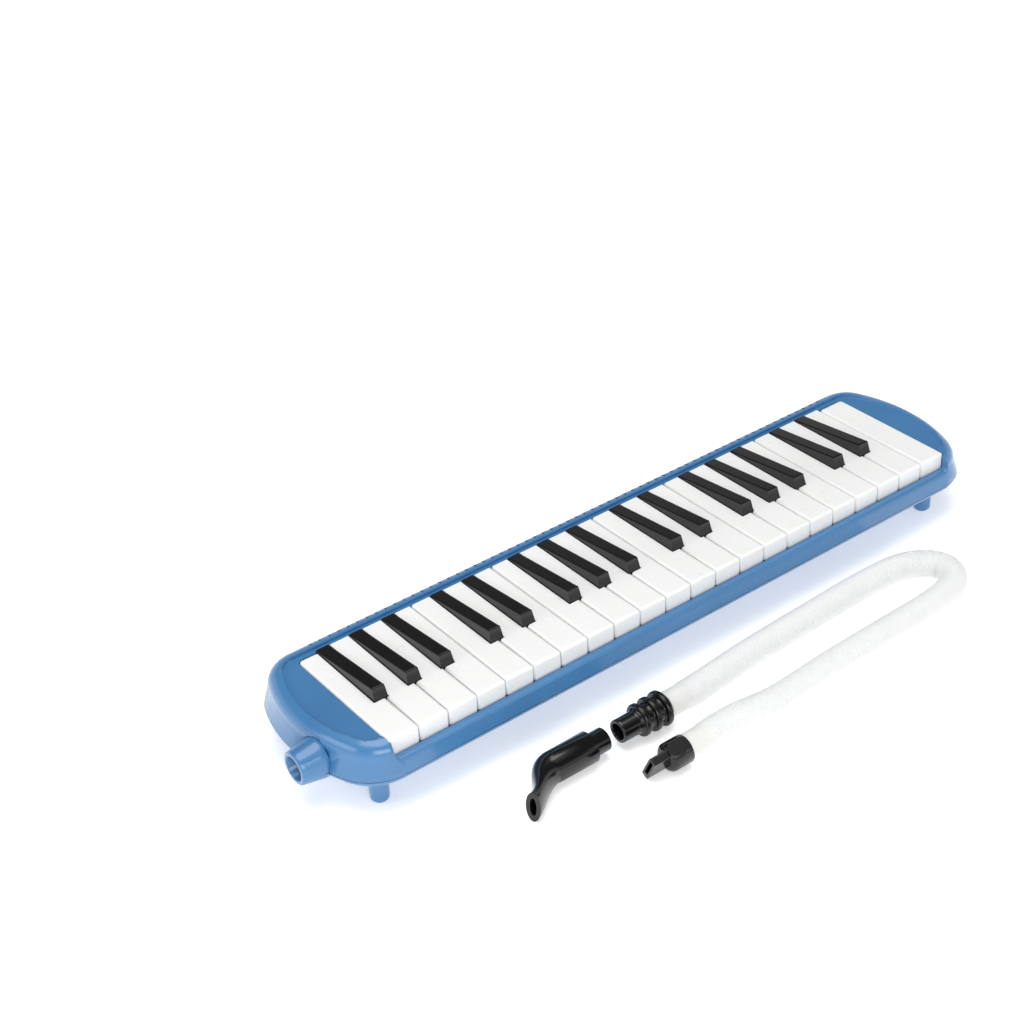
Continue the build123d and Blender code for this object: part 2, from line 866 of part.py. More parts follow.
def reed_plate(levers):
    """Metal plate with one slot per reed."""
    plate = stack_layer(plate_bottom, plate_top_z)
    windows = []
    for n, x in enumerate(levers):
        half = reed_width / 2 + reed_side_gap
        back = reed_root_y - reed_root_length
        front = back - reed_length(n, len(levers)) - 0.1
        windows.append(slab(x - half, x + half, front, back, plate_bottom - 1, plate_top_z + 1))
    return plate - windows - screw_holes(screw_shank + 0.2, plate_bottom - 1, plate_top_z + 1)


def reeds(levers):
    """Bronze tongues welded under the plate; the lowest ones carry a weight at the tip."""
    tongues = []
    top = plate_bottom
    for n, x in enumerate(levers):
        tip = reed_root_y - reed_root_length - reed_length(n, len(levers))
        half = reed_width / 2
        tongue = slab(x - half, x + half, tip, reed_root_y, top - reed_thickness, top)
        if n < weighted_reeds:
            low = top - reed_thickness - reed_weight_height
            tip_end = tip + reed_weight_length
            tongue += slab(x - half, x + half, tip, tip_end, low, top - reed_thickness)
        tongues.append(tongue)
    return tongues


def chamber_gasket():
    """Rubber frame between the tray and the reed plate."""
    frame = stack_layer(tray_top_z, plate_bottom)
    frame -= slab(
        chamber_left_x + chamber_wall,
        chamber_right_x - chamber_wall,
        chamber_front_y + chamber_wall,
        chamber_back_y - chamber_wall,
        tray_top_z - 1,
        plate_bottom + 1,
    )
    return frame - screw_holes(screw_shank + 0.2, tray_top_z - 1, plate_bottom + 1)


def wind_chamber():
    """Open tray under the reed plate, with the inlet box that the socket plugs into."""
    tray = stack_layer(tray_bottom_z, tray_top_z)
    floor = tray_bottom_z + chamber_wall
    header_floor = header_bottom_z + header_wall
    header = slab(
        header_left_x, header_right_x, header_front_y, header_back_y, header_bottom_z, header_top_z
    )
    header_room = slab(
        header_left_x + header_wall,
        header_right_x - header_wall,
        header_front_y + header_wall,
        header_back_y - header_wall,
        header_floor,
        header_top_z - header_wall,
    )
    tray_room = slab(
        chamber_left_x + chamber_wall,
        chamber_right_x - chamber_wall,
        chamber_front_y + chamber_wall,
        chamber_back_y - chamber_wall,
        floor,
        tray_top_z + 1,
    )
    bridge = slab(
        header_right_x - 1,
        chamber_left_x + 1,
        chamber_front_y,
        header_back_y,
        header_bottom_z,
        tray_top_z,
    )
    doorway = slab(
        header_right_x - header_wall - 1,
        chamber_left_x + chamber_wall + 1,
        chamber_front_y + chamber_wall,
        header_back_y - header_wall,
        header_floor,
        tray_top_z - 1.5,
    )
    tray = tray + header + bridge - header_room - tray_room - doorway
    tray -= rod_x(socket_neck + 0.05, header_left_x - 1, header_left_x + header_wall + 1, 0, 0)
    tray -= screw_holes(screw_hole, tray_bottom_z + 2, tray_top_z + 1)
    return tray - rod_z(drain_hole_radius, drain_x, drain_y, tray_bottom_z - 1, floor + 1)


# ================================================================ mouthpiece socket
def mouthpiece_socket():
    """Flared tube that takes either mouthpiece, held by its collar in the end wall."""
    tube = socket_shape(0)
    mouth = tube.edges().filter_by(GeomType.CIRCLE).group_by(Axis.X)[0]
    tube = chamfer(mouth, socket_mouth_chamfer)
    return tube - rod_x(socket_bore, -1, socket_end_x + 1, 0, 0)


def socket_seal():
    """Rubber ring between the socket's flange and the inlet box."""
    ring_x = header_left_x - seal_wire
    return Pos(ring_x, 0, 0) * Rot(0, 90, 0) * Torus(socket_neck + seal_wire + 0.05, seal_wire)


# ================================================================ drain valve
def drain_button():
    """Push button under the case; its stem passes up through the chamber floor."""
    low = underside_z - drain_stand
    cap_top = tray_bottom_z - drain_travel - 0.5
    cap = rod_z(drain_cap_radius, drain_x, drain_y, low, cap_top)
    cap = fillet(cap.edges().sort_by(Axis.Z)[:1], 0.8)
    cap += rod_z(drain_cap_radius + drain_flange, drain_x, drain_y, floor_top_z + 0.1, cap_top)
    cap -= rod_z(drain_cap_radius - drain_flange, drain_x, drain_y, low + 1.4, cap_top + 1)
    stem_top = tray_bottom_z + chamber_wall + drain_seal_height + 0.3
    return cap + rod_z(drain_stem_radius, drain_x, drain_y, low + 1, stem_top)


def drain_spring():
    """Coil spring inside the button, pushing it away from the chamber."""
    low = underside_z - drain_stand + 1.4
    height = tray_bottom_z - low - 2 * drain_coil_wire
    coil = Helix(pitch=height / drain_coil_turns, height=height, radius=drain_coil_radius)
    section = Plane(origin=coil @ 0, z_dir=coil % 0) * Circle(drain_coil_wire)
    return Pos(drain_x, drain_y, low + drain_coil_wire) * sweep(section, path=coil)


def drain_seal():
    """Rubber washer on the stem that closes the drain hole from inside the chamber."""
    floor = tray_bottom_z + chamber_wall
    top = floor + drain_seal_height
    disc = rod_z(drain_hole_radius + 1.6, drain_x, drain_y, floor, top)
    return disc - rod_z(drain_stem_radius, drain_x, drain_y, floor - 1, top + 1)


# ================================================================ screws
def screw(x, y, head_z, tip_z):
    """Pan-head screw along Z with a cross recess; the head is on the far side from the tip."""
    side = 1 if head_z > tip_z else -1
    crown = head_z + side * screw_head_height
    body = rod_z(screw_head, x, y, min(head_z, crown), max(head_z, crown))
    body += rod_z(screw_shank, x, y, min(head_z, tip_z), max(head_z, tip_z))
    inner, outer = crown - side * recess_depth, crown + side
    low, high = min(inner, outer), max(inner, outer)
    half = recess_width / 2
    body -= slab(x - recess_reach, x + recess_reach, y - half, y + half, low, high)
    return body - slab(x - half, x + half, y - recess_reach, y + recess_reach, low, high)


def case_screws():
    """Four screws that hold the two covers together."""
    return [screw(x, y, screw_seat_z, screw_seat_z + case_screw_length) for x, y in boss_places]


def chamber_screws():
    """Screws that clamp the stack."""
    seat = plate_top_z + tab_height
    return [screw(x, y, seat, seat - chamber_screw_length) for x, y in tab_places()]


# ================================================================ loose mouthpieces
def oval(x, y, z, heading, height, thickness):
    """Upright oval section, facing a compass heading in degrees from +X."""
    forward = (math.cos(math.radians(heading)), math.sin(math.radians(heading)), 0)
    plane = Plane(origin=(x, y, z), x_dir=(0, 0, 1), z_dir=forward)
    return plane * Ellipse(height / 2, thickness / 2)


def short_mouthpiece():
    """Gooseneck mouthpiece lying on its side: spigot, barrel, bent neck and flat oval beak."""
    z = mouthpiece_z
    step_x = mouthpiece_x - spigot_length
    full = 2 * barrel_radius
    barrel = [
        oval(step_x, mouthpiece_y, z, 180, full, full - 0.01),
        oval(barrel_end_x, mouthpiece_y, z, 180, full, full - 0.4),
    ]
    sections = []
    bores = [oval(barrel_end_x + 8, mouthpiece_y, z, 180, neck_bore + 0.1, neck_bore)]
    for along, across, heading, height, thickness in neck_places:
        x, y = barrel_end_x + along, mouthpiece_y + across
        rise = z + max(0.0, height / 2 - barrel_radius)
        sections.append(oval(x, y, rise, heading, height, thickness))
        bores.append(
            oval(x, y, rise, heading, height * neck_bore_height, thickness * neck_bore_thickness)
        )
    body = loft(barrel) + loft(sections)
    spigot = rod_x(spigot_radius, step_x - 1, mouthpiece_x, mouthpiece_y, z)
    body += chamfer(spigot.edges().sort_by(Axis.X)[-1:], 0.5)
    along, across, heading, height, _ = neck_places[-1]
    ahead = 2.0  # the opening's section stands this far beyond the tip
    last_x = barrel_end_x + along + ahead * math.cos(math.radians(heading))
    last_y = mouthpiece_y + across + ahead * math.sin(math.radians(heading))
    last_z = z + height / 2 - barrel_radius
    bores.append(oval(last_x, last_y, last_z, heading, *beak_opening))
    body -= loft(bores)
    return body - rod_x(mouthpiece_bore, barrel_end_x + 7.5, mouthpiece_x + 1, mouthpiece_y, z)


def hose_plug():
    """Hose end that fits the socket: tapered spigot, three grip collars and an inner barb."""
    profile = make_face(
        Polyline(
            [
                (plug_tip_x, 0, barb_bore),
                (plug_tip_x, 0, plug_tip_radius),
                (plug_tip_x + plug_spigot_length, 0, plug_spigot_radius),
                (plug_tip_x + plug_spigot_length, 0, plug_barrel_radius),
                (hose_start_x, 0, plug_barrel_radius),
                (hose_start_x, 0, barb_radius),
                (hose_start_x + barb_length, 0, barb_radius),
                (hose_start_x + barb_length, 0, barb_bore),
            ],
            close=True,
        )
    )
    plug = revolve(profile, axis=Axis.X)
    for x, radius in plug_collars:
        ring = rod_x(radius, x - collar_half_width, x + collar_half_width, 0, 0)
        ring = fillet(ring.edges().filter_by(GeomType.CIRCLE), collar_round)
        plug += ring - rod_x(plug_barrel_radius - 0.6, x - 2, x + 2, 0, 0)
    return Pos(0, plug_y, plug_z) * plug


def hose():
    """Flexible blowing hose in a hairpin: one straight leg, a half-turn and a slanting leg back."""
    rise = math.atan2(plug_z - hose_lie_z, plug_y - beak_y)
    lie = Plane(
        origin=(beak_collar_x, beak_y, hose_lie_z),
        x_dir=(1, 0, 0),
        z_dir=(0, -math.sin(rise), math.cos(rise)),
    )
    bend_x = hose_bend_x - beak_collar_x - hose_bend_radius
    end_x_local = hose_start_x - beak_collar_x
    end_y_local = math.hypot(plug_z - hose_lie_z, plug_y - beak_y)
    away_x, away_y = end_x_local - bend_x, end_y_local - hose_bend_radius
    reach = math.hypot(away_x, away_y)
    slant = math.degrees(math.atan2(away_y, away_x) - math.acos(hose_bend_radius / reach)) - 90
    straight = Line((0, 0), (bend_x, 0))
    half_turn = JernArc(straight @ 1, (1, 0), hose_bend_radius, 180 + slant)
    back = Line(half_turn @ 1, (end_x_local, end_y_local))
    path = lie * Wire([straight, half_turn, back])
    start = Plane(origin=path @ 0, z_dir=path % 0)
    tube = sweep(start * Circle(hose_outer), path=path)
    return tube - sweep(start * Circle(hose_bore), path=path)


def hose_mouthpiece():
    """Mouth end of the hose: round collar with a grip on top and a flat hollow blade on edge."""
    front_x = beak_collar_x - beak_collar_length
    tip_x = beak_collar_x - beak_length
    body = rod_x(hose_outer, front_x, beak_collar_x, 0, 0)
    body = fillet(body.edges().sort_by(Axis.X)[:1], beak_collar_round)
    body += rod_x(barb_radius, beak_collar_x - 1, beak_collar_x + barb_length, 0, 0)
    tip = Plane(origin=(tip_x, 0, 0), x_dir=(0, 1, 0), z_dir=(1, 0, 0))
    body += extrude(tip * RectangleRounded(blade_width, blade_thickness, 0.8), amount=front_x + 6 - tip_x)
    grip = Plane(origin=(beak_collar_x - grip_length / 2 - 0.6, 0, 0), x_dir=(1, 0, 0), z_dir=(0, -1, 0))
    body += extrude(grip * SlotOverall(grip_length, grip_width), amount=grip_reach)
    body -= rod_x(barb_bore, front_x + 5, beak_collar_x + barb_length + 1, 0, 0)
    room = Rectangle(blade_width - 3 * blade_wall, blade_thickness - 2 * blade_wall)
    body -= extrude(Pos(-1, 0, 0) * tip * room, amount=front_x + 8 - tip_x)
    return Pos(0, beak_y, hose_lie_z) * Rot(-beak_roll, 0, 0) * body


# ================================================================ write every piece
notes = note_list()
levers = [lever_centre(note) for note in notes]
os.makedirs("parts", exist_ok=True)

export("top_cover", top_cover())
export("bottom_cover", bottom_cover())
for note, x in zip(notes, levers):
    name, _, kind, i = note
    key = white_key(i, x) if kind == "white" else black_key(x)
    export(name, [*key.solids(), pad(x)])
export("key_axle", key_axle())
export("pivot_comb", pivot_comb(levers))
export("key_springs", key_springs(levers))
export("front_rail", front_rail())
export("front_felt", front_felt())
export("reed_block", reed_block(levers))
export("reed_plate", reed_plate(levers))
export("reeds", reeds(levers))
export("chamber_gasket", chamber_gasket())
export("wind_chamber", wind_chamber())
export("mouthpiece_socket", mouthpiece_socket())
export("socket_seal", socket_seal())
export("drain_button", drain_button())
export("drain_spring", drain_spring())
export("drain_seal", drain_seal())
export("case_screws", case_screws())
export("chamber_screws", chamber_screws())
export("short_mouthpiece", short_mouthpiece())
export("hose", hose())
export("hose_plug", hose_plug())
export("hose_mouthpiece", hose_mouthpiece())
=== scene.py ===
"""The looks of a 37-key melodica with its two mouthpieces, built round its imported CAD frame."""

import json
import math

import bmesh
import bpy
import numpy as np
from mathutils import Matrix, Vector


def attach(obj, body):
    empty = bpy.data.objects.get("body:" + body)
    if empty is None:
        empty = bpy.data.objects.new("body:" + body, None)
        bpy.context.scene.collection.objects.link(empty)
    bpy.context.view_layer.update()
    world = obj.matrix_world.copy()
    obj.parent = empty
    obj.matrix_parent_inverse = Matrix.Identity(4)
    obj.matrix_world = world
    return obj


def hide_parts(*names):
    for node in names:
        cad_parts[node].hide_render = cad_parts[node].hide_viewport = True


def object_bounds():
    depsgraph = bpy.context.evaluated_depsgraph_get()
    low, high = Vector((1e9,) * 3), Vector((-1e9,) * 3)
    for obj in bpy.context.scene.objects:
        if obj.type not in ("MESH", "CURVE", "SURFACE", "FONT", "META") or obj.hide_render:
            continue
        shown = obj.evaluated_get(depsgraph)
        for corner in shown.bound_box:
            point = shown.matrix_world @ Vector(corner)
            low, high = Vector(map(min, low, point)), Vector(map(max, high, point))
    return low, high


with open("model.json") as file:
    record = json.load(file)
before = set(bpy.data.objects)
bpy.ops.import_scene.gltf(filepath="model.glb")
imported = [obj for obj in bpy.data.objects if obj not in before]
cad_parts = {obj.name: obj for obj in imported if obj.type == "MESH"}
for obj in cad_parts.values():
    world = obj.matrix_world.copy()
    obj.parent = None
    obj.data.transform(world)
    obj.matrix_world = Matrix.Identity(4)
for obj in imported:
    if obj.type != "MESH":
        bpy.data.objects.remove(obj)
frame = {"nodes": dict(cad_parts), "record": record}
cad_low, cad_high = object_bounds()
nodes = frame["nodes"]
floor_z = cad_low.z

# ================================================================ looks, named
# Colours are linear.
CASE_BLUE = (0.058, 0.192, 0.402)
IVORY_WHITE = (0.86, 0.865, 0.855)
KEY_BLACK = (0.0045, 0.0045, 0.005)
MOUTHPIECE_BLACK = (0.005, 0.005, 0.0055)
HOSE_MILK = (0.955, 0.965, 0.955)
CUFF_CREAM = (0.94, 0.94, 0.895)

# The line where the two case halves meet, in metres; a thin band there is painted dark as the
# shadow in the gap between the halves.
PARTING_Z = -0.0027
PARTING_WIDTH = 0.0007
WALL_LEFT_X = 0.012

# Scales of the plastics' surface noise, in waves per metre.
TONE_DRIFT = 18.0
TONE_FLECK = 2600.0
GLOSS_HAZE = 55.0
GLOSS_RUB = 900.0
ORANGE_PEEL = 420.0
FINE_GRAIN = 5200.0


# ================================================================ node helpers
class Shader:
    """Small helper round a material's node tree."""

    def __init__(self, name):
        self.material = bpy.data.materials.new(name)
        self.material.use_nodes = True
        self.tree = self.material.node_tree
        self.principled = self.tree.nodes["Principled BSDF"]
        self.position = self.add("ShaderNodeNewGeometry").outputs["Position"]

    def add(self, kind, **settings):
        node = self.tree.nodes.new(kind)
        for key, value in settings.items():
            setattr(node, key, value)
        return node

    def link(self, source, target):
        self.tree.links.new(source, target)

    def feed(self, target, value):
        """Put a socket or a constant into an input."""
        if isinstance(value, bpy.types.NodeSocket):
            self.link(value, target)
        else:
            target.default_value = value

    def noise(self, scale, detail=3.0, roughness=0.5, stretch=None):
        """Noise of the place on the object; scale is in waves per metre."""
        where = self.position
        if stretch is not None:
            mapping = self.add("ShaderNodeMapping")
            self.link(where, mapping.inputs["Vector"])
            mapping.inputs["Scale"].default_value = stretch
            where = mapping.outputs["Vector"]
        node = self.add("ShaderNodeTexNoise")
        self.link(where, node.inputs["Vector"])
        node.inputs["Scale"].default_value = scale
        node.inputs["Detail"].default_value = detail
        node.inputs["Roughness"].default_value = roughness
        return node.outputs["Fac"]

    def spread(self, value, low, high):
        """Map the middle of a noise's values, where nearly all of them lie, to a range."""
        node = self.add("ShaderNodeMapRange")
        self.link(value, node.inputs["Value"])
        node.inputs["From Min"].default_value = 0.3
        node.inputs["From Max"].default_value = 0.7
        self.feed(node.inputs["To Min"], low)
        self.feed(node.inputs["To Max"], high)
        return node.outputs["Result"]

    def math(self, operation, a, b):
        node = self.add("ShaderNodeMath", operation=operation)
        self.feed(node.inputs[0], a)
        self.feed(node.inputs[1], b)
        return node.outputs["Value"]

    def mix(self, factor, a, b):
        node = self.add("ShaderNodeMix", data_type="RGBA")
        self.feed(node.inputs["Factor"], factor)
        colour_a, colour_b, colour_result = node.inputs[6], node.inputs[7], node.outputs[2]
        for socket, value in ((colour_a, a), (colour_b, b)):
            if isinstance(value, bpy.types.NodeSocket):
                self.link(value, socket)
            else:
                socket.default_value = (*value, 1.0)
        return colour_result

    def bump(self, height, distance, normal=None):
        node = self.add("ShaderNodeBump")
        self.link(height, node.inputs["Height"])
        node.inputs["Distance"].default_value = distance
        node.inputs["Strength"].default_value = 1.0
        if normal is not None:
            self.link(normal, node.inputs["Normal"])
        return node.outputs["Normal"]


def shade(colour, amount):
    """A colour made lighter or darker."""
    return tuple(min(1.0, channel * amount) for channel in colour)


def moulded_plastic(name, colour, roughness, peel=0.00001, grain=0.0, tone=0.05, coat=0.0):
    """Injection-moulded plastic: faint tone drift, uneven gloss, orange peel and fine grain."""
    s = Shader(name)
    drift = s.noise(TONE_DRIFT, 4.0)
    fleck = s.noise(TONE_FLECK, 2.0)
    tint = s.mix(s.spread(drift, 0.0, 1.0), shade(colour, 1 - tone), shade(colour, 1 + tone))
    tint = s.mix(s.spread(fleck, 0.0, 0.05), tint, shade(colour, 1.35))
    s.link(tint, s.principled.inputs["Base Color"])
    haze = s.noise(GLOSS_HAZE, 5.0, 0.6)
    rub = s.noise(GLOSS_RUB, 3.0, 0.6, stretch=(0.05, 1.0, 1.0))
    gloss = s.spread(haze, roughness * 0.8, roughness * 1.2)
    s.link(s.math("ADD", gloss, s.spread(rub, 0.0, 0.03)), s.principled.inputs["Roughness"])
    normal = s.bump(s.noise(ORANGE_PEEL, 2.0), peel)
    if grain:
        normal = s.bump(s.noise(FINE_GRAIN, 2.0), grain, normal)
    s.link(normal, s.principled.inputs["Normal"])
    s.principled.inputs["Coat Weight"].default_value = coat
    s.principled.inputs["Coat Roughness"].default_value = 0.06
    return s


def drawn_metal(name, colour, roughness, stretch=(0.03, 1.0, 1.0)):
    """Metal with fine drawing lines along X."""
    s = Shader(name)
    lines = s.noise(3200.0, 4.0, 0.6, stretch=stretch)
    drift = s.noise(60.0, 3.0)
    tint = s.mix(s.spread(drift, 0.0, 1.0), shade(colour, 0.9), shade(colour, 1.06))
    s.link(tint, s.principled.inputs["Base Color"])
    s.link(s.spread(lines, roughness * 0.7, roughness * 1.3), s.principled.inputs["Roughness"])
    s.link(s.bump(lines, 0.000004), s.principled.inputs["Normal"])
    s.principled.inputs["Metallic"].default_value = 1.0
    return s.material


def case_plastic():
    """Glossy blue shell with a dark shadow line where its two halves meet."""
    s = moulded_plastic("case_blue", CASE_BLUE, 0.2, coat=0.3)
    split = s.add("ShaderNodeSeparateXYZ")
    s.link(s.position, split.inputs["Vector"])
    # Painted shadow: a thin band along the parting line is darkened in the base colour, in place
    # of the shadow in the gap between the two halves.
    gap_shadow_band = s.add("ShaderNodeMath", operation="COMPARE")
    s.link(split.outputs["Z"], gap_shadow_band.inputs[0])
    gap_shadow_band.inputs[1].default_value = PARTING_Z
    gap_shadow_band.inputs[2].default_value = PARTING_WIDTH / 2
    on_wall = s.math("GREATER_THAN", split.outputs["X"], WALL_LEFT_X)
    plain = s.principled.inputs["Base Color"].links[0].from_socket
    shadow = s.math("MULTIPLY", gap_shadow_band.outputs["Value"], on_wall)
    s.link(s.mix(shadow, plain, shade(CASE_BLUE, 0.12)), s.principled.inputs["Base Color"])
    return s.material


def white_key_plastic():
    s = moulded_plastic("white_key", IVORY_WHITE, 0.3, tone=0.012)
    s.principled.inputs["Subsurface Weight"].default_value = 0.12
    s.principled.inputs["Subsurface Radius"].default_value = (0.004, 0.003, 0.0025)
    s.principled.inputs["Subsurface Scale"].default_value = 0.4
    return s.material


def black_key_plastic():
    return moulded_plastic("black_key", KEY_BLACK, 0.09, peel=0.000004, tone=0.1).material


def mouthpiece_plastic():
    return moulded_plastic("mouthpiece_black", MOUTHPIECE_BLACK, 0.14, tone=0.1).material


def inner_plastic():
    return moulded_plastic("inner_grey", (0.05, 0.05, 0.055), 0.5, grain=0.00001).material


def rubber():
    return moulded_plastic("seal_rubber", (0.02, 0.02, 0.02), 0.7, grain=0.00002).material


def felt():
    s = Shader("red_felt")
    fibres = s.noise(4000.0, 6.0, 0.7, stretch=(0.4, 1.0, 1.0))
    tint = s.mix(s.spread(fibres, 0.0, 1.0), (0.16, 0.01, 0.015), (0.42, 0.04, 0.05))
    s.link(tint, s.principled.inputs["Base Color"])
    s.principled.inputs["Roughness"].default_value = 0.95
    s.principled.inputs["Sheen Weight"].default_value = 0.6
    s.link(s.bump(fibres, 0.0002), s.principled.inputs["Normal"])
    return s.material


def hose_plastic():
    """Milky soft plastic that lets light through, creamier on the plain cuffs."""
    s = moulded_plastic("hose_milky", HOSE_MILK, 0.42, tone=0.02)
    ringed = s.add("ShaderNodeAttribute", attribute_name="ringed").outputs["Fac"]
    milk = s.principled.inputs["Base Color"].links[0].from_socket
    s.link(s.mix(ringed, CUFF_CREAM, milk), s.principled.inputs["Base Color"])
    s.principled.inputs["Subsurface Weight"].default_value = 0.5
    s.principled.inputs["Subsurface Radius"].default_value = (0.006, 0.006, 0.0055)
    s.principled.inputs["Subsurface Scale"].default_value = 0.5
    s.principled.inputs["Transmission Weight"].default_value = 0.15
    s.principled.inputs["IOR"].default_value = 1.35
    return s.material


# ================================================================ finishes of the CAD nodes
makers = {
    "case_plastic": case_plastic,
    "white_key_plastic": white_key_plastic,
    "black_key_plastic": black_key_plastic,
    "mouthpiece_plastic": mouthpiece_plastic,
    "inner_plastic": inner_plastic,
    "seal_rubber": rubber,
    "felt": felt,
    "hose_plastic": hose_plastic,
    "reed_plate_metal": lambda: drawn_metal("reed_plate_metal", (0.72, 0.72, 0.73), 0.35),
    "reed_bronze": lambda: drawn_metal("reed_bronze", (0.62, 0.38, 0.2), 0.3),
    "spring_bronze": lambda: drawn_metal("spring_bronze", (0.66, 0.45, 0.22), 0.3),
    "steel": lambda: drawn_metal("bright_steel", (0.66, 0.66, 0.67), 0.25),
}
finishes = {slot: make() for slot, make in makers.items()}
slot_of = {row["node"]: row["material_slot"] for row in frame["record"]["subparts"]}


WELD_DISTANCE = 0.000002
SHARP_ANGLE = 35  # degrees; the CAD's own curves turn less than this from face to face


def soften(thing, width, segments):
    """Round the sharp edges that a mould leaves round; one segment is a plain chamfer."""
    weld = thing.modifiers.new("weld", "WELD")
    weld.merge_threshold = WELD_DISTANCE
    bevel = thing.modifiers.new("bevel", "BEVEL")
    bevel.width = width
    bevel.segments = segments
    bevel.limit_method = "ANGLE"
    bevel.angle_limit = math.radians(SHARP_ANGLE)
    bevel.harden_normals = segments > 1


# Width in metres and number of segments of each material's rounded edges.
EDGE_ROUNDS = {
    "case_plastic": (0.0004, 1),
    "white_key_plastic": (0.00025, 1),
    "mouthpiece_plastic": (0.0005, 2),
}

for name, thing in nodes.items():
    slot = slot_of[name]
    thing.data.materials.clear()
    thing.data.materials.append(finishes[slot])
    if slot in EDGE_ROUNDS:
        soften(thing, *EDGE_ROUNDS[slot])

# ================================================================ the blowing hose
HOSE_RADIUS = 0.0083
HOSE_WALL = 0.0013
RING_PITCH = 0.0016
RING_DEPTH = 0.00055
CUFF_LENGTH = 0.013
CUFF_RADIUS = 0.0077
CUFF_BLEND = 0.002  # length over which a cuff swells to the ringed part
CUFF_RINGS = 0.25  # depth of the rings on a cuff, as a share of the full depth
LIFT_OFF_TABLE = 0.0002
SIDES = 40
STEPS_PER_RING = 5
STEPS_PER_SPAN = 60  # of the curve through the points, before it is cut evenly

# The hose's lazy shape on the table, from its plug to its beak, in metres.
PLUG_END = Vector((0.1930, -0.0733, floor_z + 0.0105))
BEAK_END = Vector((0.1790, -0.1050, floor_z + 0.0083))
LAZY_CURVE = (
    (0.2050, -0.0733),
    (0.2190, -0.0712),
    (0.2620, -0.0675),
    (0.310, -0.0655),
    (0.360, -0.0640),
    (0.391, -0.0672),
    (0.4065, -0.0800),
    (0.4020, -0.0950),
    (0.3800, -0.1025),
    (0.3300, -0.1042),
    (0.2900, -0.1052),
    (0.2450, -0.1075),
    (0.2150, -0.1042),
    (0.1900, -0.1050),
)


def through(points, step):
    """Smooth path through points, cut into even steps."""
    points = np.array(points)
    padded = np.vstack([2 * points[0] - points[1], points, 2 * points[-1] - points[-2]])
    fine = []
    for a, b, c, d in zip(padded, padded[1:], padded[2:], padded[3:]):
        for t in np.linspace(0.0, 1.0, STEPS_PER_SPAN, endpoint=False):
            bend = 2 * a - 5 * b + 4 * c - d
            twist = 3 * b - a - 3 * c + d
            fine.append(0.5 * (2 * b + (c - a) * t + bend * t**2 + twist * t**3))
    fine.append(points[-1])
    fine = np.array(fine)
    along = np.concatenate([[0.0], np.cumsum(np.linalg.norm(np.diff(fine, axis=0), axis=1))])
    stations = np.linspace(0.0, along[-1], int(along[-1] / step) + 1)
    return stations, np.stack([np.interp(stations, along, fine[:, k]) for k in range(3)], axis=1)


def ribbed_hose():
    """Thin ringed tube with a plain cuff at each end, modelled as one closed skin."""
    lie = floor_z + HOSE_RADIUS + LIFT_OFF_TABLE
    points = [PLUG_END, *(Vector((x, y, lie)) for x, y in LAZY_CURVE), BEAK_END]
    points[1].z = PLUG_END.z
    along, path = through([tuple(p) for p in points], RING_PITCH / STEPS_PER_RING)
    tangent = np.gradient(path, axis=0)
    tangent /= np.linalg.norm(tangent, axis=1)[:, None]
    side = np.cross(tangent, (0.0, 0.0, 1.0))
    side /= np.linalg.norm(side, axis=1)[:, None]
    rise = np.cross(side, tangent)
    to_end = np.minimum(along, along[-1] - along)
    ringed = np.clip((to_end - CUFF_LENGTH) / CUFF_BLEND, 0.0, 1.0)
    wave = 0.5 - 0.5 * np.cos(2 * math.pi * along / RING_PITCH)
    depth = RING_DEPTH * wave * (CUFF_RINGS + (1 - CUFF_RINGS) * ringed)
    outer = CUFF_RADIUS + ringed * (HOSE_RADIUS - CUFF_RADIUS) - depth
    inner = outer - HOSE_WALL
    skins = [(path, side, rise, outer), (path[::-1], side[::-1], rise[::-1], inner[::-1])]
    turns = np.linspace(0.0, 2 * math.pi, SIDES, endpoint=False)
    rows = []
    for centres, across, up, radii in skins:
        ring = np.cos(turns)[None, :, None] * across[:, None, :]
        ring = ring + np.sin(turns)[None, :, None] * up[:, None, :]
        rows.append(centres[:, None, :] + radii[:, None, None] * ring)
    verts = np.vstack(rows)
    count = len(verts)
    faces = []
    for i in range(count):
        for j in range(SIDES):
            k, n = (j + 1) % SIDES, (i + 1) % count
            faces.append((i * SIDES + j, i * SIDES + k, n * SIDES + k, n * SIDES + j))
    mesh = bpy.data.meshes.new("ribbed_hose")
    mesh.from_pydata(verts.reshape(-1, 3).tolist(), [], faces)
    mesh.polygons.foreach_set("use_smooth", [True] * len(mesh.polygons))
    mesh.materials.append(finishes["hose_plastic"])
    tint = mesh.attributes.new("ringed", "FLOAT", "POINT")
    tint.data.foreach_set("value", np.repeat(np.concatenate([ringed, ringed[::-1]]), SIDES))
    piece = bpy.data.objects.new("ribbed_hose", mesh)
    bpy.context.scene.collection.objects.link(piece)
    shape = bmesh.new()
    shape.from_mesh(mesh)
    bmesh.ops.recalc_face_normals(shape, faces=shape.faces)
    shape.to_mesh(mesh)
    shape.free()
    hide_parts("hose")
    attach(piece, "hose_set")


ribbed_hose()


# ================================================================ stage, lights and camera
TABLE_HALF_WIDTH = 6.0
TABLE_GAP = 0.0001  # keeps the table's face clear of the feet


